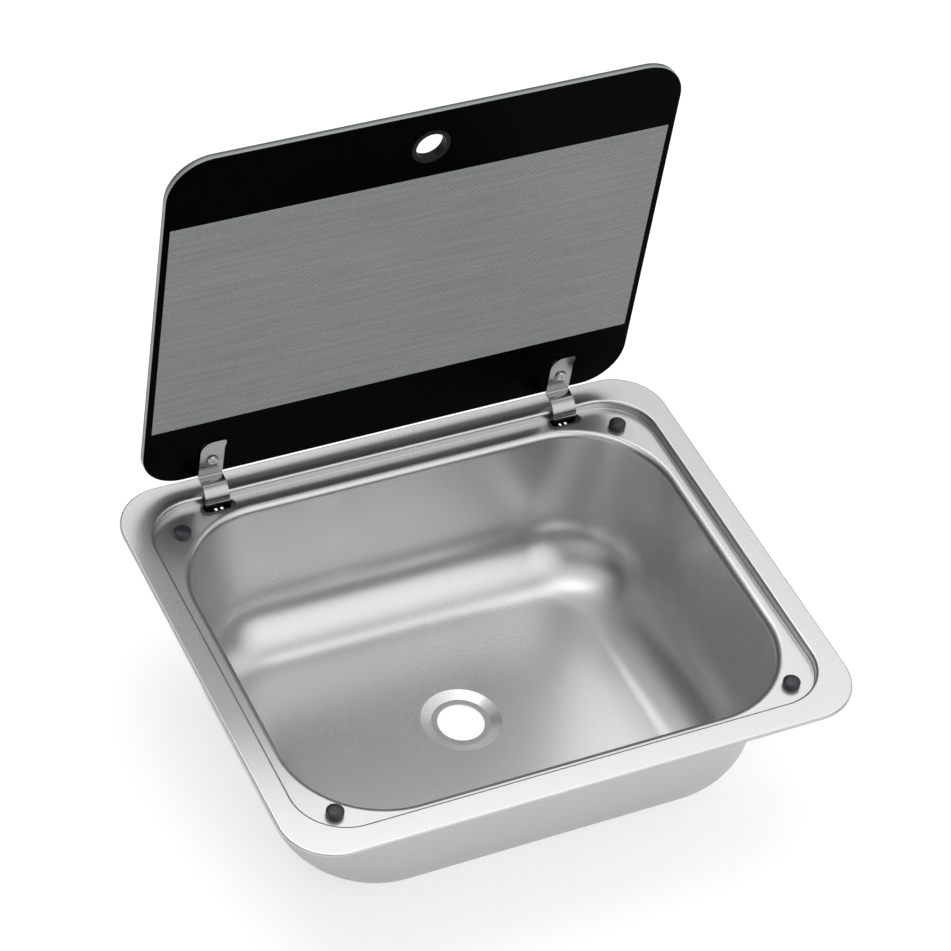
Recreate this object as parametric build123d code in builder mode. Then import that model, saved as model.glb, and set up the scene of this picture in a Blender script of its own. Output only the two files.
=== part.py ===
"""Drop-in sink for a motorhome galley, with a hinged glass lid. The lid stands open at rest.

Frame: the origin is the centre of the rim on the worktop's surface, +X is to the right,
+Y runs towards the hinges and +Z is up. Millimetres.
"""

import os
from math import atan2, cos, degrees, radians, sin, sqrt

from build123d import *

os.makedirs("parts", exist_ok=True)

# Pressed stainless shell
SHEET = 0.9
RIM_LENGTH = 422.0
RIM_WIDTH = 350.0
RIM_CORNER = 37.5
RIM_TOP = 2.5  # above the worktop
RIM_EDGE_RADIUS = 1.5
RECESS_LENGTH = 386.6
RECESS_WIDTH = 309.6
RECESS_CORNER = 36.8
RECESS_SHOULDER_RADIUS = 2.2
RECESS_FOOT_RADIUS = 0.8
LEDGE_Z = -4.5

# Bowl: its walls where they meet the ledge, and where they would meet the floor without a radius
BOWL_TOP_LENGTH = 363.2
BOWL_TOP_FRONT = -144.6
BOWL_TOP_REAR = 139.1
BOWL_TOP_CORNER = 68.5
BOWL_FOOT_LENGTH = 351.2
BOWL_FOOT_FRONT = -135.1
BOWL_FOOT_REAR = 132.1
BOWL_FOOT_CORNER = 73.0
BOWL_EDGE_RADIUS = 5.5
FLOOR_RADIUS = 51.0
FLOOR_Z = -125.8

# Drain: a recess in the floor with a flat seat and a hole for a 1 inch waste
DRAIN_Y = 5.0
DRAIN_RECESS_RADIUS = 28.0
DRAIN_SEAT_RADIUS = 22.0
DRAIN_SEAT_Z = -129.0
DRAIN_HOLE_RADIUS = 17.0
SKIN_SHIFT = 0.24  # how far the recess wall's two bends move out for each unit of skin

# Hinge axis, and the lid's place above it
PIVOT_Y = 163.66
PIVOT_Z = -3.8
LID_OPEN_DEGREES = 87.0
LID_FACE_OFFSET = 5.2  # from the axis to the inner face of the glass
LID_EDGE_OFFSET = 13.89  # from the axis to the glass's hinge edge
HINGE_X = {"left": -135.6, "right": 135.6}

# Glass lid
GLASS_LENGTH = 374.3
GLASS_HEIGHT = 303.4
GLASS_THICKNESS = 5.0
GLASS_CORNER = 31.8
GLASS_EDGE_RADIUS = 0.8
GLASS_SCREW_HOLE = 9.0
FINGER_HOLE_HEIGHT = 273.5
FINGER_HOLE_DIAMETER = 21.8
GROMMET_SEAT_DIAMETER = 24.0
GROMMET_FLANGE_DIAMETER = 28.0
GROMMET_FLANGE = 0.8

# Hinge arm, a bent strip rolled round its pin
ARM_WIDTH = 18.0
ARM_THICKNESS = 1.5
ARM_ARC_RADIUS = 14.5  # outside of the arc that runs through the slot
ARM_UPPER_BEND = 2.0  # to the middle of the strip
ARM_LOWER_BEND = 3.0
ARM_TONGUE_LENGTH = 34.0
ARM_EAR = 0.9  # how far the tongue's upper right corner stands out
ARM_EAR_HEIGHT = 7.5
ARM_BELOW_GLASS = 40.0  # more than the arm reaches below the glass's edge
ARM_LEFT_CORNER = 9.5
ARM_RIGHT_CORNER = 2.4
ARM_ROLL_DEGREES = 290.0
ARM_SIDE_GAP = 0.1
ARM_SCREW_HEIGHT = 16.4
PAD_THICKNESS = 0.4
PAD_INSET = 1.0
PAD_BOTTOM = 2.0  # above the glass's edge, clear of the upper bend
PAD_CORNER = 4.0
PIN_RADIUS = 2.0
PIN_RUNNING_GAP = 0.05

# Glass fixings
SCREW_RADIUS = 2.4
SCREW_HEAD_RADIUS = 3.7
SCREW_HEAD_HEIGHT = 2.2
SCREW_HEAD_ROUND = 1.2
SCREW_RECESS = 4.2
SCREW_RECESS_WIDTH = 0.9
SCREW_RECESS_DEPTH = 1.2
ARM_HOLE_RADIUS = 2.6
ARM_SINK_RADIUS = 4.6
ARM_SINK_DEGREES = 120.0
BUSH_GAP = 0.1
CAP_WASHER_RADIUS = 7.5
CAP_WASHER_THICKNESS = 0.6
CAP_NUT_RADIUS = 7.0
CAP_NUT_HEIGHT = 2.8
CAP_NUT_ROUND = 1.6

# Slots in the rear ledge, their bezels, and the pocket under each
BEZEL_LENGTH = 26.6
BEZEL_FRONT = 143.0
BEZEL_REAR = 154.0
BEZEL_FLANGE = 0.9
BEZEL_ROUND = 0.5
SLOT_LENGTH = 24.4
SLOT_FRONT = 144.3
SLOT_REAR = 153.7
SPIGOT_GAP = 0.1
SPIGOT_WALL = 0.5
CLIP_WIDTH = 4.0
CLIP_INSET = 0.5  # from the slot's end, so that the clip clears its round corners
CLIP_THICKNESS = 1.0
CLIP_DROP = 6.5  # below the ledge's underside
CLIP_BARB = 1.4
CLIP_BARB_HEIGHT = 2.5
POCKET_LENGTH = 30.0
POCKET_WALL = 1.5
POCKET_FRONT = 144.7
POCKET_REAR = 171.3
POCKET_FLOOR_Z = -21.5
POCKET_TOP_Z = 1.4
POCKET_CORNER = 3.0
POCKET_STEP_GAP = 0.3
POCKET_STEP_CHAMFER = 1.8
POCKET_BOSS_RADIUS = 4.2
POCKET_BOSS = 1.2
POCKET_INNER_BOSS = 2.3
CATCH_DEPTH = 1.5
CATCH_TOP = 1.0  # below the ledge's underside
CATCH_HEIGHT = 2.8
DRAIN_SLIT_WIDTH = 2.4
DRAIN_SLIT_LENGTH = 5.0
DRAIN_SLIT_Y = 162.5
DRAIN_SLIT_X = (4.4, 8.8)

# Hinge pin and what is on it
PIN_HEAD_RADIUS = 3.2
PIN_HEAD = 1.2
PIN_TAIL = 2.2
PIN_GROOVE_RADIUS = 1.6
PIN_GROOVE = 0.7
CLIP_RING_RADIUS = 3.6
CLIP_RING_THICKNESS = 0.6
CLIP_RING_GAP = 0.15
FRICTION_WASHERS = 3
FRICTION_WASHER_RADIUS = 3.4
FRICTION_WASHER_GAP = 0.05

# Rubber buffers under the closed lid
BUFFER_X = 169.6
BUFFER_Y = {"front": -136.4, "rear": 131.5}
BUFFER_RADIUS = 6.1
BUFFER_HEIGHT = 5.8
BUFFER_CROWN = 1.7
BUFFER_FLAT_RADIUS = 2.0  # of the crown's flat top
BUFFER_STEM_RADIUS = 2.5
BUFFER_BARB_RADIUS = 3.6
BUFFER_BARB = 3.0

# Foam strip under the rim
SEAL_WIDTH = 8.0
SEAL_GAP = 0.4
SEAL_END_GAP = 0.5

UNDER_RIM_Z = RIM_TOP - SHEET
LEDGE_UNDERSIDE_Z = LEDGE_Z - SHEET
STEP_BACK_Y = RECESS_WIDTH / 2 + SHEET
LEAN = radians(90 - LID_OPEN_DEGREES)
FROM_PIVOT = (0, cos(LEAN), sin(LEAN))  # square to the open glass, away from the bowl
UP_GLASS = (0, -sin(LEAN), cos(LEAN))


def lid_plane(x=0.0):
    """The inner face of the glass: local y runs up from its hinge edge, local z to the bowl."""
    y = PIVOT_Y + LID_FACE_OFFSET * FROM_PIVOT[1] + LID_EDGE_OFFSET * UP_GLASS[1]
    z = PIVOT_Z + LID_FACE_OFFSET * FROM_PIVOT[2] + LID_EDGE_OFFSET * UP_GLASS[2]
    return Plane(origin=(x, y, z), x_dir=(1, 0, 0), z_dir=(0, -cos(LEAN), -sin(LEAN)))


def hinge_section(x):
    """A plane across a hinge at x: local x is FROM_PIVOT and local y is UP_GLASS."""
    return Plane(origin=(x, PIVOT_Y, PIVOT_Z), x_dir=FROM_PIVOT, z_dir=(1, 0, 0))


def pin_plane(x):
    """A plane square to the hinge pins at x."""
    return Plane(origin=(x, PIVOT_Y, PIVOT_Z), x_dir=(0, 1, 0), z_dir=(1, 0, 0))


def finish_piece(part, name):
    """Label a finished piece and write its STEP file."""
    part.label = name
    export_step(part, f"parts/{name}.step")


def pressed_space(skin):
    """Everything above the shell inside its rim, with the walls moved out by a skin."""
    with BuildPart() as space:
        with BuildSketch(Plane.XY.offset(LEDGE_Z - skin)):
            RectangleRounded(RECESS_LENGTH + 2 * skin, RECESS_WIDTH + 2 * skin, RECESS_CORNER + skin)
        extrude(amount=RIM_TOP - LEDGE_Z + skin)
        fillet(space.faces().sort_by(Axis.Z)[0].edges(), RECESS_FOOT_RADIUS + skin)

        bowl_top = BOWL_TOP_REAR - BOWL_TOP_FRONT
        bowl_foot = BOWL_FOOT_REAR - BOWL_FOOT_FRONT
        with BuildSketch(Plane.XY.offset(LEDGE_Z - skin)) as mouth:
            with Locations((0, (BOWL_TOP_REAR + BOWL_TOP_FRONT) / 2)):
                RectangleRounded(BOWL_TOP_LENGTH + 2 * skin, bowl_top + 2 * skin, BOWL_TOP_CORNER + skin)
        with BuildSketch(Plane.XY.offset(FLOOR_Z - skin)) as foot:
            with Locations((0, (BOWL_FOOT_REAR + BOWL_FOOT_FRONT) / 2)):
                RectangleRounded(BOWL_FOOT_LENGTH + 2 * skin, bowl_foot + 2 * skin, BOWL_FOOT_CORNER + skin)
        loft([mouth.sketch, foot.sketch], ruled=True)
        fillet(space.faces().sort_by(Axis.Z)[0].edges(), FLOOR_RADIUS + skin)
        ledge = space.faces().filter_by_position(Axis.Z, LEDGE_Z - skin, LEDGE_Z - skin)[0]
        fillet(ledge.inner_wires()[0].edges(), BOWL_EDGE_RADIUS - skin)

        with BuildSketch(Plane.XY.offset(FLOOR_Z - skin)) as recess_top:
            with Locations((0, DRAIN_Y)):
                Circle(DRAIN_RECESS_RADIUS + SKIN_SHIFT * skin)
        with BuildSketch(Plane.XY.offset(DRAIN_SEAT_Z - skin)) as recess_seat:
            with Locations((0, DRAIN_Y)):
                Circle(DRAIN_SEAT_RADIUS + SKIN_SHIFT * skin)
        loft([recess_seat.sketch, recess_top.sketch], ruled=True)
    return space.part


# Sink shell: the rim and the outside of the pressing, less the space inside it
space_inside = pressed_space(0)
space_outside = pressed_space(SHEET)
with BuildPart() as sink_bowl:
    with BuildSketch():
        RectangleRounded(RIM_LENGTH, RIM_WIDTH, RIM_CORNER)
    extrude(amount=RIM_TOP)
    fillet(sink_bowl.faces().sort_by(Axis.Z)[-1].edges(), RIM_EDGE_RADIUS)
    with BuildSketch():
        RectangleRounded(RIM_LENGTH - 2 * SHEET, RIM_WIDTH - 2 * SHEET, RIM_CORNER - SHEET)
    extrude(amount=UNDER_RIM_Z, mode=Mode.SUBTRACT)
    add(space_outside)
    underside = sink_bowl.faces().filter_by_position(Axis.Z, UNDER_RIM_Z, UNDER_RIM_Z)[0]
    fillet(underside.inner_wires()[0].edges(), RECESS_SHOULDER_RADIUS - SHEET)
    add(space_inside, mode=Mode.SUBTRACT)
    shoulder = sink_bowl.faces().sort_by(Axis.Z)[-1].inner_wires()[0]
    fillet(shoulder.edges(), RECESS_SHOULDER_RADIUS)
    # Slots and buffer holes: the cut starts and ends a sheet's thickness clear of the ledge
    with BuildSketch(Plane.XY.offset(LEDGE_UNDERSIDE_Z - SHEET)):
        for x in HINGE_X.values():
            with Locations((x, (SLOT_FRONT + SLOT_REAR) / 2)):
                SlotOverall(SLOT_LENGTH, SLOT_REAR - SLOT_FRONT)
        for y in BUFFER_Y.values():
            with Locations((-BUFFER_X, y), (BUFFER_X, y)):
                Circle(BUFFER_STEM_RADIUS)
    extrude(amount=3 * SHEET, mode=Mode.SUBTRACT)
    with BuildSketch(Plane.XY.offset(DRAIN_SEAT_Z - SHEET)):
        with Locations((0, DRAIN_Y)):
            Circle(DRAIN_HOLE_RADIUS)
    extrude(amount=SHEET, mode=Mode.SUBTRACT)
finish_piece(sink_bowl.part, "sink_bowl")

# Foam strip under the rim: one length round the front and sides, one between the hinge pockets
rear_gap = HINGE_X["right"] - POCKET_LENGTH / 2 - SEAL_END_GAP
side_gap = HINGE_X["right"] + POCKET_LENGTH / 2 + SEAL_END_GAP
seal_length = RIM_LENGTH - 2 * (SHEET + SEAL_GAP)
seal_width = RIM_WIDTH - 2 * (SHEET + SEAL_GAP)
seal_corner = RIM_CORNER - SHEET - SEAL_GAP
for name, half_span, keep in (("rim_seal", side_gap, Mode.SUBTRACT), ("rear_seal", rear_gap, Mode.INTERSECT)):
    with BuildPart() as seal:
        with BuildSketch():
            RectangleRounded(seal_length, seal_width, seal_corner)
            RectangleRounded(
                seal_length - 2 * SEAL_WIDTH,
                seal_width - 2 * SEAL_WIDTH,
                seal_corner - SEAL_WIDTH,
                mode=Mode.SUBTRACT,
            )
        extrude(amount=UNDER_RIM_Z)
        with BuildSketch():
            with Locations((0, RIM_WIDTH / 2)):
                Rectangle(2 * half_span, RIM_WIDTH / 4)
        extrude(amount=UNDER_RIM_Z, mode=keep)
    finish_piece(seal.part, name)

# Rubber buffers, pushed through the ledge
for end, buffer_y in BUFFER_Y.items():
    for side, buffer_x in (("left", -BUFFER_X), ("right", BUFFER_X)):
        with BuildPart() as buffer:
            with BuildSketch(Plane.XZ.offset(-buffer_y)):
                with BuildLine():
                    crown = BUFFER_HEIGHT - BUFFER_CROWN
                    barb_z = LEDGE_UNDERSIDE_Z
                    flat_edge = (buffer_x + BUFFER_FLAT_RADIUS, LEDGE_Z + BUFFER_HEIGHT)
                    Line((buffer_x, LEDGE_Z + BUFFER_HEIGHT), flat_edge)
                    TangentArc(flat_edge, (buffer_x + BUFFER_RADIUS, LEDGE_Z + crown), tangent=(1, 0))
                    Polyline(
                        (buffer_x + BUFFER_RADIUS, LEDGE_Z + crown),
                        (buffer_x + BUFFER_RADIUS, LEDGE_Z),
                        (buffer_x + BUFFER_STEM_RADIUS, LEDGE_Z),
                        (buffer_x + BUFFER_STEM_RADIUS, barb_z),
                        (buffer_x + BUFFER_BARB_RADIUS, barb_z),
                        (buffer_x + BUFFER_STEM_RADIUS / 2, barb_z - BUFFER_BARB),
                        (buffer_x, barb_z - BUFFER_BARB),
                        (buffer_x, LEDGE_Z + BUFFER_HEIGHT),
                    )
                make_face()
            revolve(axis=Axis((buffer_x, buffer_y, 0), (0, 0, 1)))
        finish_piece(buffer.part, f"buffer_{end}_{side}")

# Glass lid
glass_face = lid_plane()
with BuildPart() as glass_lid:
    with BuildSketch(glass_face):
        with Locations((0, GLASS_HEIGHT / 2)):
            RectangleRounded(GLASS_LENGTH, GLASS_HEIGHT, GLASS_CORNER)
    extrude(amount=-GLASS_THICKNESS)
    broad_faces = glass_lid.faces().sort_by(SortBy.AREA)[-2:]
    fillet(broad_faces.edges(), GLASS_EDGE_RADIUS)
    with BuildSketch(glass_face):
        with Locations((0, FINGER_HOLE_HEIGHT)):
            Circle(GROMMET_SEAT_DIAMETER / 2)
        for x in HINGE_X.values():
            with Locations((x, ARM_SCREW_HEIGHT)):
                Circle(GLASS_SCREW_HOLE / 2)
    extrude(amount=-GLASS_THICKNESS, mode=Mode.SUBTRACT)
finish_piece(glass_lid.part, "glass_lid")

# Grommet that lines the finger hole
with BuildPart() as finger_grommet:
    for depth, thickness, diameter in (
        (GROMMET_FLANGE, GROMMET_FLANGE, GROMMET_FLANGE_DIAMETER),
        (0, GLASS_THICKNESS, GROMMET_SEAT_DIAMETER),
        (-GLASS_THICKNESS, GROMMET_FLANGE, GROMMET_FLANGE_DIAMETER),
    ):
        with BuildSketch(glass_face.offset(depth)):
            with Locations((0, FINGER_HOLE_HEIGHT)):
                Circle(diameter / 2)
        extrude(amount=-thickness)
    flange_edges = finger_grommet.edges().filter_by(GeomType.CIRCLE).sort_by(Axis.Y)
    fillet([flange_edges[0], flange_edges[-1]], GROMMET_FLANGE / 2)
    with BuildSketch(glass_face.offset(GROMMET_FLANGE)):
        with Locations((0, FINGER_HOLE_HEIGHT)):
            Circle(FINGER_HOLE_DIAMETER / 2)
    extrude(amount=-GLASS_THICKNESS - 2 * GROMMET_FLANGE, mode=Mode.SUBTRACT)
finish_piece(finger_grommet.part, "finger_grommet")

# The arm's centre line, in the plane across a hinge with the pin at its origin
arc_radius = ARM_ARC_RADIUS - ARM_THICKNESS / 2
roll_radius = PIN_RADIUS + PIN_RUNNING_GAP + ARM_THICKNESS / 2
tongue_x = LID_FACE_OFFSET - PAD_THICKNESS - ARM_THICKNESS / 2
tongue_top = LID_EDGE_OFFSET + ARM_TONGUE_LENGTH
upper_x = tongue_x - ARM_UPPER_BEND
upper_y = sqrt((arc_radius + ARM_UPPER_BEND) ** 2 - upper_x**2)
lower_y = ARM_LOWER_BEND - roll_radius
lower_x = -sqrt((arc_radius - ARM_LOWER_BEND) ** 2 - lower_y**2)
arc_from = degrees(atan2(upper_y, upper_x))
arc_to = degrees(atan2(lower_y, lower_x))


def arm_strip(x):
    """The bent strip: tongue, upper bend, arc round the pin, lower bend, leg and rolled knuckle."""
    with BuildPart() as strip:
        with BuildSketch(hinge_section(x)):
            with BuildLine():
                Line((tongue_x, tongue_top), (tongue_x, upper_y))
                CenterArc((upper_x, upper_y), ARM_UPPER_BEND, 0, arc_from - 180)
                CenterArc((0, 0), arc_radius, arc_from, arc_to - arc_from)
                CenterArc((lower_x, lower_y), ARM_LOWER_BEND, arc_to, 270 - arc_to)
                Line((lower_x, -roll_radius), (0, -roll_radius))
                CenterArc((0, 0), roll_radius, -90, ARM_ROLL_DEGREES)
            trace(line_width=ARM_THICKNESS)
        extrude(amount=ARM_WIDTH, both=True)
    return strip.part


def disc(x, thickness, outer, inner=0.0):
    """A disc on the hinge pin, from x towards +X, added to the current part."""
    with BuildSketch(pin_plane(x)) as outline:
        Circle(outer)
        if inner:
            Circle(inner, mode=Mode.SUBTRACT)
    extrude(outline.sketch, amount=thickness)


boss_face = POCKET_LENGTH / 2 + POCKET_BOSS
pocket_inside = POCKET_LENGTH / 2 - POCKET_WALL
boss_inside = pocket_inside - POCKET_INNER_BOSS
washer_pitch = (boss_inside - ARM_WIDTH / 2 - ARM_SIDE_GAP) / FRICTION_WASHERS
slot_y = (SLOT_FRONT + SLOT_REAR) / 2
slot_depth = SLOT_REAR - SLOT_FRONT

for side, hinge_x in HINGE_X.items():
    face = lid_plane(hinge_x)

    # Steel arm: the strip, trimmed to its outline seen square to the glass
    with BuildPart() as hinge_arm:
        add(arm_strip(hinge_x))
        with BuildSketch(face) as outline:
            with BuildLine():
                Polyline(
                    (-ARM_WIDTH / 2, -ARM_BELOW_GLASS),
                    (ARM_WIDTH / 2, -ARM_BELOW_GLASS),
                    (ARM_WIDTH / 2, ARM_TONGUE_LENGTH - ARM_EAR_HEIGHT),
                    (ARM_WIDTH / 2 + ARM_EAR, ARM_TONGUE_LENGTH - ARM_EAR_HEIGHT / 2),
                    (ARM_WIDTH / 2 + ARM_EAR, ARM_TONGUE_LENGTH),
                    (-ARM_WIDTH / 2, ARM_TONGUE_LENGTH),
                    close=True,
                )
            make_face()
            fillet(outline.vertices().group_by(Axis.Y)[-1].sort_by(Axis.X)[0], ARM_LEFT_CORNER)
            fillet(outline.vertices().group_by(Axis.Y)[-1].sort_by(Axis.X)[-1], ARM_RIGHT_CORNER)
        extrude(amount=ARM_BELOW_GLASS, both=True, mode=Mode.INTERSECT)
        front = face.offset(PAD_THICKNESS + ARM_THICKNESS)
        front.origin = front.from_local_coords(Vector(0, ARM_SCREW_HEIGHT, 0))
        with Locations(front):
            CounterSinkHole(ARM_HOLE_RADIUS, ARM_SINK_RADIUS, ARM_THICKNESS, ARM_SINK_DEGREES)
    finish_piece(hinge_arm.part, f"hinge_arm_{side}")

    # Soft pad between the tongue and the glass
    with BuildPart() as arm_pad:
        with BuildSketch(face):
            with Locations((0, (ARM_TONGUE_LENGTH + PAD_BOTTOM) / 2)):
                RectangleRounded(
                    ARM_WIDTH - 2 * PAD_INSET,
                    ARM_TONGUE_LENGTH - PAD_BOTTOM - 2 * PAD_INSET,
                    PAD_CORNER,
                )
            with Locations((0, ARM_SCREW_HEIGHT)):
                Circle(ARM_HOLE_RADIUS, mode=Mode.SUBTRACT)
        extrude(amount=PAD_THICKNESS)
    finish_piece(arm_pad.part, f"arm_pad_{side}")

    # Bush in the glass, and the screw that goes through it
    with BuildPart() as glass_bush:
        with BuildSketch(face):
            with Locations((0, ARM_SCREW_HEIGHT)):
                Circle(GLASS_SCREW_HOLE / 2 - BUSH_GAP)
                Circle(SCREW_RADIUS + BUSH_GAP, mode=Mode.SUBTRACT)
        extrude(amount=-GLASS_THICKNESS)
    finish_piece(glass_bush.part, f"glass_bush_{side}")

    head_seat = face.offset(PAD_THICKNESS + ARM_THICKNESS)
    shank = PAD_THICKNESS + ARM_THICKNESS + GLASS_THICKNESS + CAP_WASHER_THICKNESS
    with BuildPart() as glass_screw:
        with BuildSketch(head_seat):
            with Locations((0, ARM_SCREW_HEIGHT)):
                Circle(SCREW_HEAD_RADIUS)
        extrude(amount=SCREW_HEAD_HEIGHT)
        fillet(glass_screw.edges().sort_by(Axis.Y)[0], SCREW_HEAD_ROUND)
        with BuildSketch(head_seat.offset(SCREW_HEAD_HEIGHT)):
            with Locations((0, ARM_SCREW_HEIGHT)):
                Rectangle(SCREW_RECESS, SCREW_RECESS_WIDTH)
                Rectangle(SCREW_RECESS_WIDTH, SCREW_RECESS)
        extrude(amount=-SCREW_RECESS_DEPTH, mode=Mode.SUBTRACT)
        with BuildSketch(head_seat):
            with Locations((0, ARM_SCREW_HEIGHT)):
                Circle(SCREW_RADIUS)
        extrude(amount=-shank)
    finish_piece(glass_screw.part, f"glass_screw_{side}")

    # Washer and round cap nut on the outer face of the glass
    outer_face = face.offset(-GLASS_THICKNESS)
    with BuildPart() as cap_washer:
        with BuildSketch(outer_face):
            with Locations((0, ARM_SCREW_HEIGHT)):
                Circle(CAP_WASHER_RADIUS)
                Circle(SCREW_RADIUS + BUSH_GAP, mode=Mode.SUBTRACT)
        extrude(amount=-CAP_WASHER_THICKNESS)
    finish_piece(cap_washer.part, f"cap_washer_{side}")

    with BuildPart() as cap_nut:
        with BuildSketch(outer_face.offset(-CAP_WASHER_THICKNESS)):
            with Locations((0, ARM_SCREW_HEIGHT)):
                Circle(CAP_NUT_RADIUS)
        extrude(amount=-CAP_NUT_HEIGHT)
        fillet(cap_nut.edges().sort_by(Axis.Y)[-1], CAP_NUT_ROUND)
    finish_piece(cap_nut.part, f"cap_nut_{side}")

    # Bezel: a flange on the ledge, a spigot that lines the slot, and a clip at each end
    with BuildPart() as hinge_bezel:
        with BuildSketch(Plane.XY.offset(LEDGE_Z)):
            with Locations((hinge_x, (BEZEL_FRONT + BEZEL_REAR) / 2)):
                SlotOverall(BEZEL_LENGTH, BEZEL_REAR - BEZEL_FRONT)
        extrude(amount=BEZEL_FLANGE)
        fillet(hinge_bezel.faces().sort_by(Axis.Z)[-1].edges(), BEZEL_ROUND)
        with BuildSketch(Plane.XY.offset(LEDGE_UNDERSIDE_Z)):
            with Locations((hinge_x, slot_y)):
                SlotOverall(SLOT_LENGTH - 2 * SPIGOT_GAP, slot_depth - 2 * SPIGOT_GAP)
        extrude(amount=SHEET)
        opening_length = SLOT_LENGTH - 2 * (SPIGOT_GAP + SPIGOT_WALL)
        with BuildSketch(Plane.XY.offset(LEDGE_UNDERSIDE_Z)):
            with Locations((hinge_x, slot_y)):
                SlotOverall(opening_length, slot_depth - 2 * (SPIGOT_GAP + SPIGOT_WALL))
        extrude(amount=SHEET + BEZEL_FLANGE, mode=Mode.SUBTRACT)
        clip_x = SLOT_LENGTH / 2 - CLIP_INSET - CLIP_THICKNESS
        clip_foot = LEDGE_UNDERSIDE_Z - CLIP_DROP
        for hand in (-1, 1):
            with BuildSketch(Plane.XZ.offset(-slot_y)):
                with BuildLine():
                    Polyline(
                        (hinge_x + hand * clip_x, LEDGE_Z),
                        (hinge_x + hand * (clip_x + CLIP_THICKNESS), LEDGE_Z),
                        (hinge_x + hand * (clip_x + CLIP_THICKNESS), clip_foot + CLIP_BARB_HEIGHT),
                        (hinge_x + hand * (clip_x + CLIP_THICKNESS + CLIP_BARB), clip_foot + CLIP_BARB_HEIGHT),
                        (hinge_x + hand * clip_x, clip_foot),
                        close=True,
                    )
                make_face()
            extrude(amount=CLIP_WIDTH / 2, both=True)
    finish_piece(hinge_bezel.part, f"hinge_bezel_{side}")

    # Pocket under the ledge and the rim: carries the pin and keeps drips off the worktop's edge
    with BuildPart() as hinge_pocket:
        with BuildSketch(pin_plane(hinge_x - POCKET_LENGTH / 2)) as profile:
            with BuildLine():
                ledge_top = LEDGE_UNDERSIDE_Z - PIVOT_Z
                rim_top = POCKET_TOP_Z - PIVOT_Z
                step_y = STEP_BACK_Y + POCKET_STEP_GAP - PIVOT_Y
                Polyline(
                    (POCKET_FRONT - PIVOT_Y, POCKET_FLOOR_Z - PIVOT_Z),
                    (POCKET_REAR - PIVOT_Y, POCKET_FLOOR_Z - PIVOT_Z),
                    (POCKET_REAR - PIVOT_Y, rim_top),
                    (step_y + POCKET_STEP_CHAMFER, rim_top),
                    (step_y, rim_top - POCKET_STEP_CHAMFER),
                    (step_y, ledge_top),
                    (POCKET_FRONT - PIVOT_Y, ledge_top),
                    close=True,
                )
            make_face()
            fillet(profile.vertices().group_by(Axis.Y)[0], POCKET_CORNER)
        extrude(amount=POCKET_LENGTH)
        disc(hinge_x - boss_face, 2 * boss_face, POCKET_BOSS_RADIUS)
        with BuildSketch(pin_plane(hinge_x - pocket_inside)) as hollow:
            with BuildLine():
                Polyline(
                    (POCKET_FRONT + POCKET_WALL - PIVOT_Y, POCKET_FLOOR_Z + POCKET_WALL - PIVOT_Z),
                    (POCKET_REAR - POCKET_WALL - PIVOT_Y, POCKET_FLOOR_Z + POCKET_WALL - PIVOT_Z),
                    (POCKET_REAR - POCKET_WALL - PIVOT_Y, rim_top),
                    (POCKET_FRONT + POCKET_WALL - PIVOT_Y, rim_top),
                    close=True,
                )
            make_face()
            fillet(hollow.vertices().group_by(Axis.Y)[0], POCKET_CORNER - POCKET_WALL)
        extrude(amount=2 * pocket_inside, mode=Mode.SUBTRACT)
        disc(hinge_x - pocket_inside, POCKET_INNER_BOSS, POCKET_BOSS_RADIUS)
        disc(hinge_x + boss_inside, POCKET_INNER_BOSS, POCKET_BOSS_RADIUS)
        with BuildSketch(pin_plane(hinge_x - boss_face)):
            Circle(PIN_RADIUS)
        extrude(amount=2 * boss_face, mode=Mode.SUBTRACT)
        catch_top = LEDGE_UNDERSIDE_Z - CATCH_TOP
        with BuildSketch(Plane.XY.offset(catch_top - CATCH_HEIGHT)):
            for hand in (-1, 1):
                with Locations((hinge_x + hand * (pocket_inside - CATCH_DEPTH / 2), slot_y)):
                    Rectangle(CATCH_DEPTH, CLIP_WIDTH)
        extrude(amount=CATCH_HEIGHT)
        with BuildSketch(Plane.XY.offset(POCKET_FLOOR_Z)):
            for slit_x in DRAIN_SLIT_X:
                with Locations((hinge_x + slit_x, DRAIN_SLIT_Y)):
                    SlotOverall(DRAIN_SLIT_LENGTH, DRAIN_SLIT_WIDTH, rotation=90)
        extrude(amount=POCKET_WALL, mode=Mode.SUBTRACT)
    finish_piece(hinge_pocket.part, f"hinge_pocket_{side}")

    # Pin with a head at its left end and a groove for a retaining ring at its right end
    with BuildPart() as hinge_pin:
        disc(hinge_x - boss_face - PIN_HEAD, PIN_HEAD, PIN_HEAD_RADIUS)
        fillet(hinge_pin.edges().sort_by(Axis.X)[0], PIN_HEAD / 2)
        disc(hinge_x - boss_face, 2 * boss_face + CLIP_RING_GAP, PIN_RADIUS)
        disc(hinge_x + boss_face + CLIP_RING_GAP, PIN_GROOVE, PIN_GROOVE_RADIUS)
        tail = PIN_TAIL - PIN_GROOVE - CLIP_RING_GAP
        disc(hinge_x + boss_face + CLIP_RING_GAP + PIN_GROOVE, tail, PIN_RADIUS)
    finish_piece(hinge_pin.part, f"hinge_pin_{side}")

    ring_x = hinge_x + boss_face + CLIP_RING_GAP
    with BuildPart() as pin_ring:
        disc(ring_x, CLIP_RING_THICKNESS, CLIP_RING_RADIUS, PIN_GROOVE_RADIUS)
        with BuildSketch(pin_plane(ring_x)):
            with Locations((-CLIP_RING_RADIUS / 2, 0)):
                Rectangle(CLIP_RING_RADIUS, 2 * PIN_GROOVE_RADIUS - 2 * CLIP_RING_GAP)
        extrude(amount=PIN_GROOVE, mode=Mode.SUBTRACT)
    finish_piece(pin_ring.part, f"pin_ring_{side}")

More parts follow.
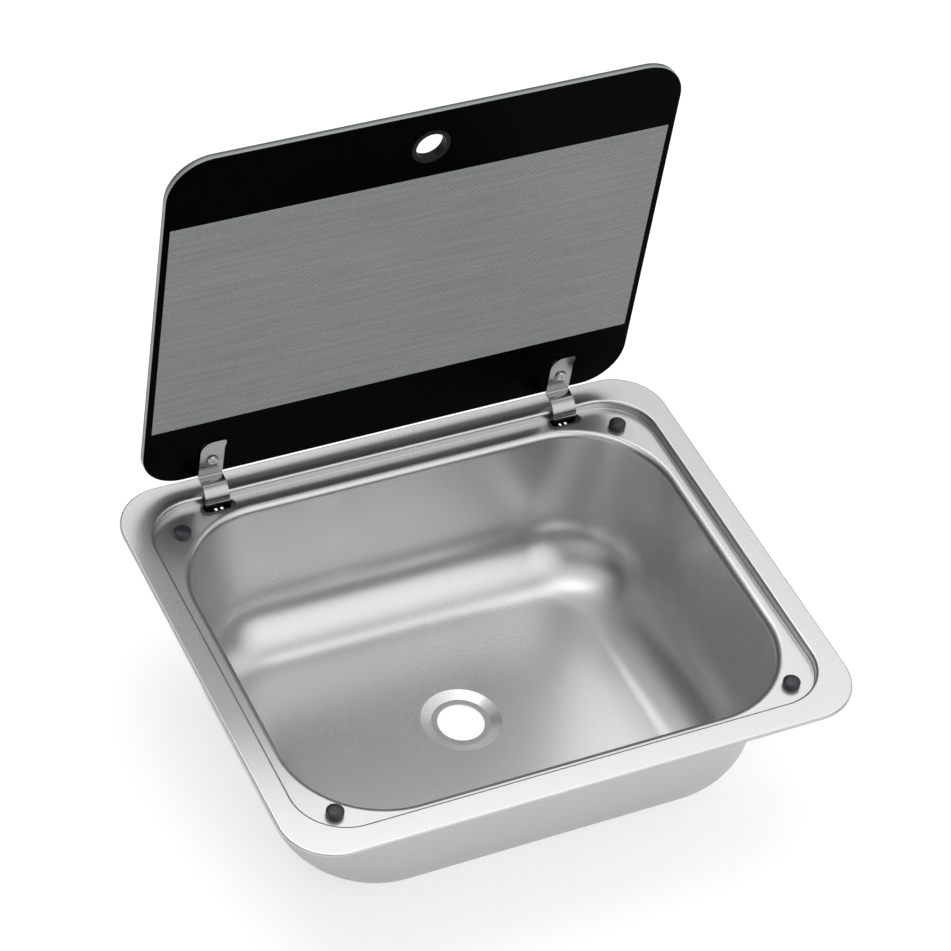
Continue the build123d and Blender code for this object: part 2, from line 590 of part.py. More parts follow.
    # Friction washers between the knuckle and the pocket's bosses
    with BuildPart() as friction_washers:
        for step in range(FRICTION_WASHERS):
            washer = washer_pitch - FRICTION_WASHER_GAP
            bore = PIN_RADIUS + PIN_RUNNING_GAP
            disc(hinge_x - boss_inside + step * washer_pitch, washer, FRICTION_WASHER_RADIUS, bore)
            disc(hinge_x + boss_inside - step * washer_pitch - washer, washer, FRICTION_WASHER_RADIUS, bore)
    finish_piece(friction_washers.part, f"friction_washers_{side}")
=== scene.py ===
import math

import bpy
from mathutils import Matrix, Vector


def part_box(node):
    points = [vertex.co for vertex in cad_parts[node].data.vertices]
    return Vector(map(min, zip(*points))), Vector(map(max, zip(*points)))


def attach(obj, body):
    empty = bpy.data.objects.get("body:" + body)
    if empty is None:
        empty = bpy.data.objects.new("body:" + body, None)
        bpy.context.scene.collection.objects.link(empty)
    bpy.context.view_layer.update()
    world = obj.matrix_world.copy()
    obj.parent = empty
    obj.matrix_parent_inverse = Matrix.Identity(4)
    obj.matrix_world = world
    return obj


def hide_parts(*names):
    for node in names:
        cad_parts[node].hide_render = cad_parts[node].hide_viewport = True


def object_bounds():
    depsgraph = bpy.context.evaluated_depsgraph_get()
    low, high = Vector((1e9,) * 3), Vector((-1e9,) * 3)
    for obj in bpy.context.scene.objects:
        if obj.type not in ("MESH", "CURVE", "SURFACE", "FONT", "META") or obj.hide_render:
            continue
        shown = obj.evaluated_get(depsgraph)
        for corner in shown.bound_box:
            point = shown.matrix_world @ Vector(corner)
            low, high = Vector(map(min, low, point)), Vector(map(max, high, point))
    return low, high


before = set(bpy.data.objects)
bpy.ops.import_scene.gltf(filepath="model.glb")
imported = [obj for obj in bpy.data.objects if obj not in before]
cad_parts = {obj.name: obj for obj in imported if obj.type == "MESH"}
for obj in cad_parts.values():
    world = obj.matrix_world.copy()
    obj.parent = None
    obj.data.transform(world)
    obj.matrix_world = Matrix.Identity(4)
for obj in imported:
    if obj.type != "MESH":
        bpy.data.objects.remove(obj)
cad_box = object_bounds()

MM = 0.001

# The sink's pressing, as in the CAD model, in millimetres
SHEET = 0.9
RIM_HALF = (211.0, 175.0)
RIM_CORNER = 37.5
RIM_TOP = 2.5
RIM_EDGE = 1.5
STEP_HALF = (193.3, 154.8)
STEP_CORNER = 36.8
SHOULDER = 2.2
STEP_FOOT = 0.8
LEDGE_Z = -4.5
MOUTH = (181.6, -144.6, 139.1)  # half length, front and rear
MOUTH_CORNER = 68.5
MOUTH_EDGE = 5.5
FOOT = (175.6, -135.1, 132.1)
FOOT_CORNER = 73.0
FLOOR_RADIUS = 51.0
FLOOR_Z = -125.8
FLOOR_FALL = 0.5
DRAIN_Y = 5.0
DRAIN_RECESS = 28.0
DRAIN_SEAT = 22.0
DRAIN_SEAT_Z = -129.0
DRAIN_HOLE = 17.0
DRAIN_BEND = 1.6
DRAIN_BURR = (0.3, 0.15)  # chamfer of the hole's upper edge: width and height

# How finely the pressing's mesh is divided
CORNER_STEPS = 20
LONG_STEPS = 22
SHORT_STEPS = 18
BEND_STEPS = 6
WALL_STEPS = 8
FLOOR_STEPS = 14
FALL_STEPS = 9
SLOT_STEPS = 12

# Slots for the hinges in the rear ledge
SIDES = ("left", "right")
SLOT_LENGTH = 24.4
SLOT_FRONT = 144.3
SLOT_REAR = 153.7
CUT_BELOW = 3.0  # reach of a slot's cutter past the ledge's top
CUT_ABOVE = 2.0

# Glass lid: its plane and the print on its inner face
PIVOT = Vector((0.0, 163.66, -3.8))
LEAN = math.radians(3.0)
ACROSS = Vector((0.0, math.cos(LEAN), math.sin(LEAN)))
UP_GLASS = Vector((0.0, -math.sin(LEAN), math.cos(LEAN)))
GLASS_SET = (5.2, 13.89)  # inner face's hinge edge from the pivot, outward and up the glass
GLASS_EDGE = PIVOT + GLASS_SET[0] * ACROSS + GLASS_SET[1] * UP_GLASS
GLASS_THICKNESS = 5.0
WINDOW_HALF_LENGTH = 182.25
WINDOW_FOOT = 54.0  # above the hinge edge
WINDOW_TOP = 246.2
DOT_PITCH = 1.45
DOT_ROW = 1.25
DOT_RADIUS = 0.7  # where a dot has faded out
BETWEEN_DOTS = 0.15  # share of light through the print
IN_DOTS = 0.45
STREAKS = (0.012, 0.3)  # cycles to the millimetre along and up the glass
EDGE_FACING = 0.75  # faces less square to the glass than this are its edge
# The darkening of the glass's edge across its thickness is painted shade
EDGE_SHADE_BAND = (1.6, 3.4)  # depths in the glass between which its edge darkens
GLASS_REFLECTS = 0.04  # share reflected straight on

# The photograph's camera: lens and sensor in millimetres, distances in metres
LENS = 137.4
SENSOR = 36.0
AIM = Vector((46.15, 112.83, 2.5)) * MM
AZIMUTH = math.radians(-30.73)
ELEVATION = math.radians(43.98)
ROLL = math.radians(8.39)
DISTANCE = 2.5768
CLIP = (0.05, 50.0)

# Softboxes of the surroundings: aim, full and outer half angles in degrees, added radiance
SOFTBOXES = (
    ((0.0, 0.34, 0.94), 6.0, 38.0, 2.1),
    ((0.28, -0.69, 0.67), 6.0, 38.0, 1.4),
    ((0.72, 0.18, 0.67), 8.0, 40.0, 1.0),
    ((-0.34, 0.0, 0.94), 6.0, 38.0, 0.9),
    ((-0.69, -0.69, 0.21), 6.0, 38.0, 0.6),
    ((-0.69, 0.69, 0.21), 6.0, 38.0, 0.2),
)
SKY = 0.02  # radiance between the softboxes

# The floor the sink stands on
FLOOR_HALF_SIZE = 6000.0
FLOOR_ROUGHNESS = 0.8
FLOOR_COLOUR = 0.8
FLOOR_COLOUR_SEEN = 0.5  # to the camera, with a glow that makes it white
FLOOR_GLOW = 0.64
FLOOR_GLOW_REFLECTED = 0.25

# Shared by the shaders
WHITE = (1.0, 1.0, 1.0, 1.0)
NOISE_RANGE = (0.3, 0.7)  # where most of the noise's values lie


# ---------------------------------------------------------------- shader helpers


def new_material(name):
    """A node material, its tree and its Principled shader."""
    material = bpy.data.materials.new(name)
    material.use_nodes = True
    return material, material.node_tree, material.node_tree.nodes["Principled BSDF"]


def node(tree, kind, **settings):
    """Add a node and set its properties."""
    made = tree.nodes.new(kind)
    for key, value in settings.items():
        setattr(made, key, value)
    return made


def link(tree, source, target):
    tree.links.new(source, target)


def grey(value):
    return (value, value, value)


def object_point(tree, scale=1.0):
    """Object coordinates in metres times scale."""
    coords = node(tree, "ShaderNodeTexCoord")
    mapping = node(tree, "ShaderNodeMapping")
    mapping.inputs["Scale"].default_value = (scale,) * 3
    link(tree, coords.outputs["Object"], mapping.inputs["Vector"])
    return mapping.outputs["Vector"]


def noise(tree, point, scale, detail=3.0, rough=0.5):
    made = node(tree, "ShaderNodeTexNoise")
    made.inputs["Scale"].default_value = scale
    made.inputs["Detail"].default_value = detail
    made.inputs["Roughness"].default_value = rough
    link(tree, point, made.inputs["Vector"])
    return made.outputs["Fac"]


def remap(tree, value, low, high, new_low, new_high):
    made = node(tree, "ShaderNodeMapRange")
    made.inputs["From Min"].default_value = low
    made.inputs["From Max"].default_value = high
    made.inputs["To Min"].default_value = new_low
    made.inputs["To Max"].default_value = new_high
    link(tree, value, made.inputs["Value"])
    return made.outputs["Result"]


def spread(tree, cloud, low, high):
    """Noise spread over a range."""
    return remap(tree, cloud, *NOISE_RANGE, low, high)


def math_node(tree, operation, a, b=None):
    made = node(tree, "ShaderNodeMath", operation=operation)
    for socket, value in zip(made.inputs, (a, b)):
        if value is None:
            continue
        if isinstance(value, (int, float)):
            socket.default_value = value
        else:
            link(tree, value, socket)
    return made.outputs["Value"]


def above(tree, value, limit):
    return math_node(tree, "GREATER_THAN", value, limit)


def below(tree, value, limit):
    return math_node(tree, "LESS_THAN", value, limit)


def product(tree, *values):
    total = values[0]
    for value in values[1:]:
        total = math_node(tree, "MULTIPLY", total, value)
    return total


def dot_product(tree, vector, axis):
    """The dot product of a vector socket and a constant axis."""
    made = node(tree, "ShaderNodeVectorMath", operation="DOT_PRODUCT")
    link(tree, vector, made.inputs[0])
    made.inputs[1].default_value = axis
    return made.outputs["Value"]


def distance_along(tree, point, axis, origin):
    """Distance of a point in millimetres along an axis, from an origin."""
    return math_node(tree, "SUBTRACT", dot_product(tree, point, axis), origin.dot(Vector(axis)))


def bump(tree, height, strength, depth):
    """A normal roughened by a height, with the depth in millimetres."""
    made = node(tree, "ShaderNodeBump")
    made.inputs["Strength"].default_value = strength
    made.inputs["Distance"].default_value = depth * MM
    link(tree, height, made.inputs["Height"])
    return made.outputs["Normal"]


def mix_colour(tree, factor, first, second):
    """A mix of two constant colours."""
    made = node(tree, "ShaderNodeMix", data_type="RGBA")
    link(tree, factor, made.inputs["Factor"])
    made.inputs[6].default_value = (*first, 1.0)
    made.inputs[7].default_value = (*second, 1.0)
    return made.outputs[2]


def mix_shader(tree, factor, first, second):
    made = node(tree, "ShaderNodeMixShader")
    link(tree, factor, made.inputs[0])
    link(tree, first, made.inputs[1])
    link(tree, second, made.inputs[2])
    return made.outputs[0]


def reflected_share(tree, straight_on):
    """The share a clear surface reflects, from straight on up to one at a graze, on either side."""
    grazing = node(tree, "ShaderNodeLayerWeight").outputs["Facing"]
    return remap(tree, math_node(tree, "POWER", grazing, 5.0), 0.0, 1.0, straight_on, 1.0)


def seen_directly(tree, path):
    """One for rays of the camera and transmitted rays, nought for the rest."""
    return math_node(tree, "MAXIMUM", path.outputs["Is Camera Ray"], path.outputs["Is Transmission Ray"])


# ---------------------------------------------------------------- materials


def satin_steel():
    """Pressed stainless: a broad and a narrow sheen, fine grain and slow changes of roughness."""
    material, tree, broad = new_material("satin_steel")
    point = object_point(tree)
    cloud = noise(tree, point, scale=9.0, detail=2.0)
    grain = noise(tree, point, scale=2600.0, detail=4.0, rough=0.7)
    speckle = spread(tree, grain, -0.03, 0.03)
    normal = bump(tree, grain, strength=0.08, depth=0.03)
    base = mix_colour(tree, cloud, (0.65, 0.65, 0.645), (0.7, 0.7, 0.695))
    narrow = node(tree, "ShaderNodeBsdfPrincipled")
    for shader, low, high in ((broad, 0.46, 0.52), (narrow, 0.22, 0.28)):
        link(tree, base, shader.inputs["Base Color"])
        shader.inputs["Metallic"].default_value = 1.0
        roughness = math_node(tree, "ADD", spread(tree, cloud, low, high), speckle)
        link(tree, roughness, shader.inputs["Roughness"])
        link(tree, normal, shader.inputs["Normal"])
    both = mix_shader(tree, spread(tree, cloud, 0.55, 0.65), broad.outputs[0], narrow.outputs[0])
    link(tree, both, tree.nodes["Material Output"].inputs["Surface"])
    return material


def strip_steel():
    """Tumbled stainless strip of the hinge arms."""
    material, tree, shader = new_material("strip_steel")
    point = object_point(tree)
    cloud = noise(tree, point, scale=160.0)
    grain = noise(tree, point, scale=3000.0, rough=0.7)
    base = mix_colour(tree, cloud, grey(0.38), (0.46, 0.46, 0.455))
    link(tree, base, shader.inputs["Base Color"])
    shader.inputs["Metallic"].default_value = 1.0
    link(tree, spread(tree, cloud, 0.13, 0.19), shader.inputs["Roughness"])
    link(tree, bump(tree, grain, strength=0.1, depth=0.04), shader.inputs["Normal"])
    return material


def plated_steel():
    """Bright plated steel of screws, nuts, pins and rings."""
    material, tree, shader = new_material("plated_steel")
    wear = noise(tree, object_point(tree), scale=700.0, detail=4.0, rough=0.6)
    base = mix_colour(tree, wear, grey(0.6), (0.8, 0.8, 0.79))
    link(tree, base, shader.inputs["Base Color"])
    shader.inputs["Metallic"].default_value = 1.0
    link(tree, spread(tree, wear, 0.14, 0.3), shader.inputs["Roughness"])
    return material


def clear_share(tree, across, up):
    """What the print lets through: clearer dots in staggered rows, and nothing past the window."""
    row = math_node(tree, "DIVIDE", up, DOT_ROW)
    odd_row = math_node(tree, "MODULO", math_node(tree, "FLOOR", row), 2.0)
    shift = math_node(tree, "MULTIPLY", odd_row, 0.5)
    column = math_node(tree, "ADD", math_node(tree, "DIVIDE", across, DOT_PITCH), shift)
    squares = []
    for place, pitch in ((column, DOT_PITCH), (row, DOT_ROW)):
        off = math_node(tree, "SUBTRACT", math_node(tree, "FRACT", place), 0.5)
        off = math_node(tree, "MULTIPLY", off, pitch)
        squares.append(product(tree, off, off))
    reach = math_node(tree, "SQRT", math_node(tree, "ADD", *squares))
    dots = remap(tree, reach, DOT_RADIUS, 0.0, BETWEEN_DOTS, IN_DOTS)

    streaks = node(tree, "ShaderNodeCombineXYZ")
    for place, cycles, axis in zip((across, up), STREAKS, "XY"):
        link(tree, math_node(tree, "MULTIPLY", place, cycles), streaks.inputs[axis])
    smear = noise(tree, streaks.outputs["Vector"], scale=1.0, detail=2.0)

    ends = below(tree, math_node(tree, "ABSOLUTE", across), WINDOW_HALF_LENGTH)
    window = product(tree, ends, above(tree, up, WINDOW_FOOT), below(tree, up, WINDOW_TOP))
    return product(tree, dots, spread(tree, smear, 0.92, 1.06), window)


def black_print(tree, ink, fog, grain):
    """The print's Principled shader: black with a soft gloss."""
    ink.inputs["Base Color"].default_value = (0.0008, 0.0008, 0.0009, 1.0)
    ink.inputs["Specular IOR Level"].default_value = 0.015
    link(tree, spread(tree, fog, 0.22, 0.3), ink.inputs["Roughness"])
    link(tree, bump(tree, grain, strength=0.02, depth=0.01), ink.inputs["Normal"])
    return ink.outputs[0]


def clear_pane(tree, fog):
    """A face of the glass without print."""
    clear = node(tree, "ShaderNodeBsdfTransparent")
    clear.inputs["Color"].default_value = (0.93, 0.95, 0.94, 1.0)
    gloss = node(tree, "ShaderNodeBsdfGlossy")
    link(tree, spread(tree, fog, 0.02, 0.05), gloss.inputs["Roughness"])
    return mix_shader(tree, reflected_share(tree, GLASS_REFLECTS), clear.outputs[0], gloss.outputs[0])


def ground_edge_painted_shade(tree, depth, grain):
    """The glass's ground edge, with painted light and shade: lighter on the side of the print, darker
    towards the outer face.
    """
    edge = node(tree, "ShaderNodeBsdfPrincipled")
    band = remap(tree, depth, *EDGE_SHADE_BAND, 0.0, 1.0)
    # Painted light and shade: the edge's colour runs from light near the print to dark near the outer
    # face
    base = mix_colour(tree, band, (0.32, 0.35, 0.34), (0.08, 0.09, 0.087))
    link(tree, base, edge.inputs["Base Color"])
    link(tree, spread(tree, grain, 0.2, 0.35), edge.inputs["Roughness"])
    return edge.outputs[0]


def printed_glass():
    """Clear glass with black print on its inner face, which has a window of clearer dots."""
    material, tree, ink = new_material("printed_glass")
    point = object_point(tree, 1 / MM)
    depth = distance_along(tree, point, ACROSS, GLASS_EDGE)
    up = distance_along(tree, point, UP_GLASS, GLASS_EDGE)
    across = distance_along(tree, point, (1.0, 0.0, 0.0), Vector())
    fog = noise(tree, object_point(tree), scale=30.0)
    grain = noise(tree, object_point(tree), scale=1500.0, detail=2.0)

    inner = below(tree, depth, GLASS_THICKNESS / 2)
    let_through = product(tree, inner, clear_share(tree, across, up))
    printed = math_node(tree, "SUBTRACT", inner, let_through)
    faces = mix_shader(tree, printed, clear_pane(tree, fog), black_print(tree, ink, fog, grain))

    normal = node(tree, "ShaderNodeTexCoord").outputs["Normal"]
    facing = math_node(tree, "ABSOLUTE", dot_product(tree, normal, ACROSS))
    on_edge = below(tree, facing, EDGE_FACING)
    whole = mix_shader(tree, on_edge, faces, ground_edge_painted_shade(tree, depth, grain))
    link(tree, whole, tree.nodes["Material Output"].inputs["Surface"])
    return material


def moulded(name, dark, light, roughness, grain_scale, grain_depth, gloss=0.5):
    """Moulded plastic, rubber or foam with a fine surface grain."""
    material, tree, shader = new_material(name)
    point = object_point(tree)
    cloud = noise(tree, point, scale=120.0)
    grain = noise(tree, point, scale=grain_scale, rough=0.6)
    link(tree, mix_colour(tree, cloud, dark, light), shader.inputs["Base Color"])
    link(tree, spread(tree, grain, *roughness), shader.inputs["Roughness"])
    link(tree, bump(tree, grain, strength=0.3, depth=grain_depth), shader.inputs["Normal"])
    shader.inputs["Specular IOR Level"].default_value = gloss
    return material


# ---------------------------------------------------------------- mesh helpers


def make_object(name, verts, faces, material, smooth=True):
    """A mesh object from points in millimetres."""
    mesh = bpy.data.meshes.new(name)
    mesh.from_pydata([Vector(v) * MM for v in verts], [], faces)
    mesh.validate()
    made = bpy.data.objects.new(name, mesh)
    bpy.context.scene.collection.objects.link(made)
    mesh.materials.append(material)
    for polygon in mesh.polygons:
        polygon.use_smooth = smooth
    return made


def bake_modifiers(made):
    """Replace an object's mesh by what its modifiers make of it."""
    graph = bpy.context.evaluated_depsgraph_get()
    final = bpy.data.meshes.new_from_object(made.evaluated_get(graph))
    made.modifiers.clear()
    old = made.data
    made.data = final
    bpy.data.meshes.remove(old)


def on_circle(cx, cy, radius, degrees):
    """A point on a circle, as x and y."""
    angle = math.radians(degrees)
    return cx + radius * math.cos(angle), cy + radius * math.sin(angle)


def rounded_loop(x0, x1, y0, y1, radius, z):
    """Points round a rounded rectangle, anticlockwise from the start of its right front corner."""
    centres = ((x1 - radius, y0 + radius, -90), (x1 - radius, y1 - radius, 0))
    centres += ((x0 + radius, y1 - radius, 90), (x0 + radius, y0 + radius, 180))
    points = []
    for index, (cx, cy, start) in enumerate(centres):
        for step in range(CORNER_STEPS + 1):
            points.append(Vector((*on_circle(cx, cy, radius, start + 90 * step / CORNER_STEPS), z)))
        next_x, next_y, next_start = centres[(index + 1) % 4]
        end = Vector((*on_circle(next_x, next_y, radius, next_start), z))
        begin = points[-1]
        count = SHORT_STEPS if index % 2 == 0 else LONG_STEPS
        points += [begin.lerp(end, step / count) for step in range(1, count)]
    return points


def drain_loop(radius, z, model):
    """A circle round the drain whose points lie in the directions of a model loop's points."""
    points = []
    for p in model:
        out = Vector((p.x, p.y - DRAIN_Y, 0)).normalized() * radius
        points.append(Vector((out.x, out.y + DRAIN_Y, z)))
    return points


def bridge(loops):
    """Verts and quads between loops of equal counts."""
    count = len(loops[0])
    verts = [p for loop in loops for p in loop]
    faces = []
    for start in range(0, (len(loops) - 1) * count, count):
        for i in range(count):
            j = (i + 1) % count
            faces.append((start + i, start + j, start + count + j, start + count + i))
    return verts, faces


# ---------------------------------------------------------------- sink shell


def wall_runs():
    """Each wall's inward run from mouth to foot: the sides, the front and the rear."""
    return (MOUTH[0] - FOOT[0], FOOT[1] - MOUTH[1], MOUTH[2] - FOOT[2])


def bowl_loop(inward, z):
    """A loop in the bowl, each side this far inward of the mouth and the corners offset alike."""
    depth = (LEDGE_Z - z) / (LEDGE_Z - FLOOR_Z)
    on_wall = sum(run * depth for run in wall_runs()) / 3
    off_wall = sum(inward) / 3 - on_wall
    corner = MOUTH_CORNER + (FOOT_CORNER - MOUTH_CORNER) * depth - off_wall
    side, front, rear = inward
    half = MOUTH[0] - side
    return rounded_loop(-half, half, MOUTH[1] + front, MOUTH[2] - rear, corner, z)


def mouth_loops(slopes):
    """The bend from the ledge into the bowl's walls."""
    loops = []
    count = 2 * BEND_STEPS
    for step in range(count + 1):
        share = step / count
        inward = []
        for slope in slopes:
            turn = (math.pi / 2 - slope) * share
            centre = MOUTH_EDGE / math.cos(slope) - MOUTH_EDGE * math.tan(slope)
            inward.append(-(centre - MOUTH_EDGE * math.sin(turn)))
        fall = MOUTH_EDGE * (1 - math.cos(share * (math.pi / 2 - slopes[0])))
        loops.append(bowl_loop(inward, LEDGE_Z - fall))
    return loops


def wall_loops(slopes, top, foot):
    """The straight part of the walls, between two heights."""
    loops = []
    for step in range(1, WALL_STEPS):
        z = top + (foot - top) * step / WALL_STEPS
        loops.append(bowl_loop([(LEDGE_Z - z) * math.tan(slope) for slope in slopes], z))
    return loops


def floor_loops(slopes):
    """The large radius between the walls and the floor."""
    loops = []
    centre_z = FLOOR_Z + FLOOR_RADIUS
    for step in range(FLOOR_STEPS + 1):
        share = step / FLOOR_STEPS
        turns = [slope + (math.pi / 2 - slope) * share for slope in slopes]
        inward = []
        for slope, turn in zip(slopes, turns):
            centre = FLOOR_RADIUS / math.cos(slope) + (LEDGE_Z - centre_z) * math.tan(slope)
            inward.append(centre - FLOOR_RADIUS * math.cos(turn))
        loops.append(bowl_loop(inward, centre_z - FLOOR_RADIUS * math.sin(turns[0])))
    return loops


def bowl_loops():
    """The bowl from its mouth's bend to the flat of its floor."""
    slopes = [math.atan(run / (LEDGE_Z - FLOOR_Z)) for run in wall_runs()]
    loops = mouth_loops(slopes)
    blend_top = FLOOR_Z + FLOOR_RADIUS * (1 - math.sin(slopes[0]))
    loops += wall_loops(slopes, loops[-1][0].z, blend_top)
    loops += floor_loops(slopes)
    return loops


def drain_loops(floor_edge):
    """The floor's fall to the drain, its recess, the seat and the hole."""
    loops = []
    lip = DRAIN_RECESS + DRAIN_BEND
    lip_z = FLOOR_Z - FLOOR_FALL
    circle = drain_loop(lip, lip_z, floor_edge)
    for step in range(1, FALL_STEPS):
        share = step / FALL_STEPS
        loops.append([a.lerp(b, share) for a, b in zip(floor_edge, circle)])
    loops.append(circle)
    steepest = math.atan2(lip_z - DRAIN_SEAT_Z, DRAIN_RECESS - DRAIN_SEAT)
    for step in range(1, BEND_STEPS + 1):
        turn = steepest * step / BEND_STEPS
        radius = lip - DRAIN_BEND * math.sin(turn)
        z = lip_z - DRAIN_BEND * (1 - math.cos(turn))
        loops.append(drain_loop(radius, z, floor_edge))
    for step in range(BEND_STEPS + 1):
        turn = steepest * (1 - step / BEND_STEPS)
        radius = DRAIN_SEAT - DRAIN_BEND / 2 + DRAIN_BEND * math.sin(turn)
        z = DRAIN_SEAT_Z + DRAIN_BEND * (1 - math.cos(turn))
        loops.append(drain_loop(radius, z, floor_edge))
    width, height = DRAIN_BURR
    loops.append(drain_loop(DRAIN_HOLE + width, DRAIN_SEAT_Z, floor_edge))
    loops.append(drain_loop(DRAIN_HOLE, DRAIN_SEAT_Z - height, floor_edge))
    return loops


def rect_loop(half, corner, out, z):
    """A loop round the rim's centre, this far outside a rounded rectangle."""
    x = half[0] + out
    y = half[1] + out
    return rounded_loop(-x, x, -y, y, corner + out, z)


def sink_loops():
    """The shell's upper surface, from the foot of the rim's lip to the drain hole."""
    bend = [math.pi / 2 * step / BEND_STEPS for step in range(BEND_STEPS + 1)]
    loops = [rect_loop(RIM_HALF, RIM_CORNER, 0, 0)]
    for turn in bend:
        out = -RIM_EDGE * (1 - math.cos(turn))
        loops.append(rect_loop(RIM_HALF, RIM_CORNER, out, RIM_TOP - RIM_EDGE * (1 - math.sin(turn))))
    for turn in bend:
        out = SHOULDER * (1 - math.sin(turn))
        loops.append(rect_loop(STEP_HALF, STEP_CORNER, out, RIM_TOP - SHOULDER * (1 - math.cos(turn))))
    for turn in bend:
        out = -STEP_FOOT * (1 - math.cos(turn))
        loops.append(rect_loop(STEP_HALF, STEP_CORNER, out, LEDGE_Z + STEP_FOOT * (1 - math.sin(turn))))
    loops += bowl_loops()
    loops += drain_loops(loops[-1])
    return loops


def stadium_points(x, y, length, depth):
    """Points round a slot with round ends."""
    radius = depth / 2
    reach = length / 2 - radius
    points = []
    for sign in (1, -1):
        for step in range(SLOT_STEPS + 1):
            dx, dy = on_circle(reach, 0, radius, -90 + 180 * step / SLOT_STEPS)
            points.append((x + sign * dx, y + sign * dy))
    return points


def slot_cutter(side):
    """A closed prism to cut one hinge's slot with."""
    low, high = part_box(f"hinge_bezel_{side}")
    x = (low.x + high.x) / 2 / MM
    y = (SLOT_FRONT + SLOT_REAR) / 2
    points = stadium_points(x, y, SLOT_LENGTH, SLOT_REAR - SLOT_FRONT)
    count = len(points)
    verts = [(*point, z) for z in (LEDGE_Z - CUT_BELOW, LEDGE_Z + CUT_ABOVE) for point in points]
    faces = [tuple(reversed(range(count))), tuple(range(count, 2 * count))]
    faces += [(i, (i + 1) % count, count + (i + 1) % count, count + i) for i in range(count)]
    return make_object(f"slot_cutter_{side}", verts, faces, satin, smooth=False)


def build_sink():
    """The shell replaces the CAD node's facets by smooth quads of the same form."""
    verts, faces = bridge(sink_loops())
    shell = make_object("sink_shell", verts, faces, satin)
    thick = shell.modifiers.new("sheet", "SOLIDIFY")
    thick.thickness = SHEET * MM
    thick.offset = -1.0
    thick.use_even_offset = True
    bake_modifiers(shell)
    cutters = [slot_cutter(side) for side in SIDES]
    for tool in cutters:
        cut = shell.modifiers.new(tool.name, "BOOLEAN")
        cut.operation = "DIFFERENCE"
        cut.solver = "EXACT"
        cut.object = tool
    bake_modifiers(shell)
    for tool in cutters:
        bpy.data.objects.remove(tool)
    weighted = shell.modifiers.new("weighted", "WEIGHTED_NORMAL")
    weighted.keep_sharp = True
    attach(shell, "sink")
    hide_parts("sink_bowl")


# ---------------------------------------------------------------- camera, light and floor


def build_camera():
    """The camera of the photograph."""
    right = Vector((math.cos(AZIMUTH), math.sin(AZIMUTH), 0))
    back = Vector((
        math.sin(AZIMUTH) * math.cos(ELEVATION),
        -math.cos(AZIMUTH) * math.cos(ELEVATION),
        math.sin(ELEVATION),
    ))
    up = back.cross(right)
    rolled_right = math.cos(ROLL) * right + math.sin(ROLL) * up
    rolled_up = math.cos(ROLL) * up - math.sin(ROLL) * right
    data = bpy.data.cameras.new("camera")
    data.lens = LENS
    data.sensor_width = SENSOR
    data.clip_start, data.clip_end = CLIP
    made = bpy.data.objects.new("camera", data)
    bpy.context.scene.collection.objects.link(made)
    turn = Matrix((rolled_right, rolled_up, back)).transposed().to_4x4()
    made.matrix_world = Matrix.Translation(AIM + back * DISTANCE) @ turn
    bpy.context.scene.camera = made


def softbox(tree, direction, aim, inner, outer, power):
    """A round soft light in the world: full within the inner angle, gone at the outer."""
    ramp = node(tree, "ShaderNodeMapRange", interpolation_type="SMOOTHSTEP")
    link(tree, dot_product(tree, direction, Vector(aim).normalized()), ramp.inputs["Value"])
    ramp.inputs["From Min"].default_value = math.cos(math.radians(outer))
    ramp.inputs["From Max"].default_value = math.cos(math.radians(inner))
    ramp.inputs["To Max"].default_value = power
    return ramp.outputs["Result"]


def build_world():
    """Soft studio surroundings for the object, and plain white to the camera."""
    world = bpy.data.worlds.new("studio")
    bpy.context.scene.world = world
    world.use_nodes = True
    tree = world.node_tree
    direction = node(tree, "ShaderNodeTexCoord").outputs["Generated"]
    light = SKY
    for aim, inner, outer, power in SOFTBOXES:
        light = math_node(tree, "ADD", light, softbox(tree, direction, aim, inner, outer, power))
    seen = seen_directly(tree, node(tree, "ShaderNodeLightPath"))
    unseen = math_node(tree, "SUBTRACT", 1.0, seen)
    background = tree.nodes["Background"]
    background.inputs["Color"].default_value = WHITE
    strength = math_node(tree, "ADD", product(tree, light, unseen), seen)
    link(tree, strength, background.inputs["Strength"])


def build_floor():
    """A pale floor that keeps the sink's soft shadow."""
    material, tree, shader = new_material("pale_floor")
    shader.inputs["Roughness"].default_value = FLOOR_ROUGHNESS
    path = node(tree, "ShaderNodeLightPath")
    seen = seen_directly(tree, path)
    colour = mix_colour(tree, seen, grey(FLOOR_COLOUR), grey(FLOOR_COLOUR_SEEN))
    link(tree, colour, shader.inputs["Base Color"])
    glow = math_node(tree, "MULTIPLY", seen, FLOOR_GLOW)
    reflected = math_node(tree, "MULTIPLY", path.outputs["Is Glossy Ray"], FLOOR_GLOW_REFLECTED)
    shader.inputs["Emission Color"].default_value = WHITE
    link(tree, math_node(tree, "MAXIMUM", glow, reflected), shader.inputs["Emission Strength"])
    z = cad_box[0].z / MM
    size = FLOOR_HALF_SIZE
    verts = [(-size, -size, z), (size, -size, z), (size, size, z), (-size, size, z)]
    floor = make_object("floor", verts, [(0, 1, 2, 3)], material, smooth=False)


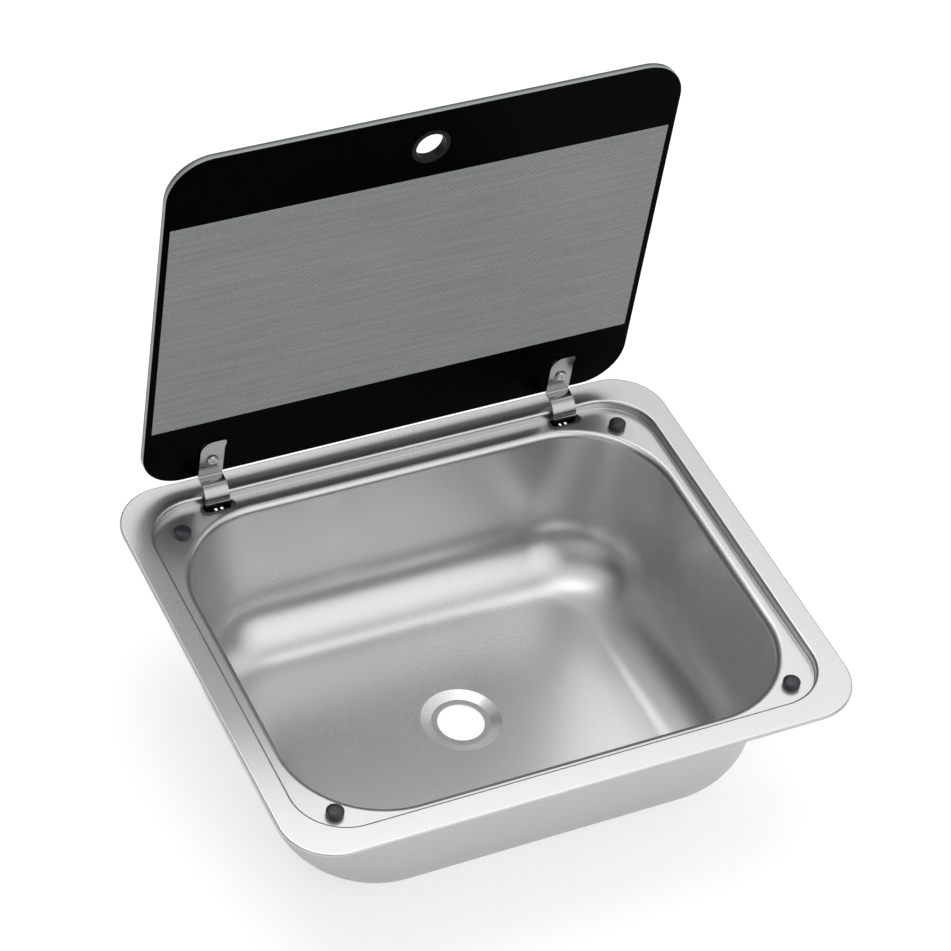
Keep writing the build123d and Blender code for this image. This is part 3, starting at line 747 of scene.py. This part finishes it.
satin = satin_steel()
printed = printed_glass()
strip = strip_steel()
plated = plated_steel()
black_plastic = moulded(
    "black_plastic",
    dark=(0.035, 0.035, 0.037),
    light=(0.055, 0.055, 0.057),
    roughness=(0.25, 0.4),
    grain_scale=2500.0,
    grain_depth=0.03,
)
# The pockets' black plastic made lighter for the bezels, as a painted highlight on their raised rings
bezel_plastic_painted_highlight = moulded(
    "bezel_plastic_painted_highlight",
    dark=(0.06, 0.06, 0.062),
    light=(0.085, 0.085, 0.087),
    roughness=(0.25, 0.4),
    grain_scale=2500.0,
    grain_depth=0.03,
)
buffer_rubber = moulded(
    "buffer_rubber",
    dark=(0.014, 0.016, 0.02),
    light=(0.034, 0.037, 0.044),
    roughness=(0.3, 0.5),
    grain_scale=900.0,
    grain_depth=0.3,
)
grommet_rubber = moulded(
    "grommet_rubber",
    dark=(0.008, 0.008, 0.009),
    light=(0.014, 0.014, 0.015),
    roughness=(0.4, 0.55),
    grain_scale=2200.0,
    grain_depth=0.03,
    gloss=0.15,
)
# Clear film against the black print, shown about as dark as the print behind it
pad_film = moulded(
    "pad_film",
    dark=grey(0.002),
    light=grey(0.004),
    roughness=(0.25, 0.35),
    grain_scale=1800.0,
    grain_depth=0.02,
)
seal_foam = moulded(
    "seal_foam",
    dark=grey(0.03),
    light=grey(0.06),
    roughness=(0.8, 0.95),
    grain_scale=900.0,
    grain_depth=0.1,
)
nylon = moulded(
    "nylon",
    dark=(0.6, 0.6, 0.58),
    light=(0.7, 0.7, 0.68),
    roughness=(0.3, 0.45),
    grain_scale=1500.0,
    grain_depth=0.03,
)

NODE_MATERIALS = (
    ("glass_lid", printed),
    ("rim_seal", seal_foam),
    ("rear_seal", seal_foam),
    ("buffer_", buffer_rubber),
    ("finger_grommet", grommet_rubber),
    ("hinge_bezel", bezel_plastic_painted_highlight),
    ("hinge_pocket", black_plastic),
    ("hinge_arm", strip),
    ("hinge_pin", plated),
    ("pin_ring", plated),
    ("friction_washers", plated),
    ("glass_screw", plated),
    ("cap_nut", plated),
    ("cap_washer", nylon),
    ("arm_pad", pad_film),
    ("glass_bush", nylon),
)
for name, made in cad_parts.items():
    for prefix, material in NODE_MATERIALS:
        if name.startswith(prefix):
            made.data.materials.clear()
            made.data.materials.append(material)

bpy.context.scene.view_settings.view_transform = "Standard"
build_camera()
build_world()
build_floor()
build_sink()
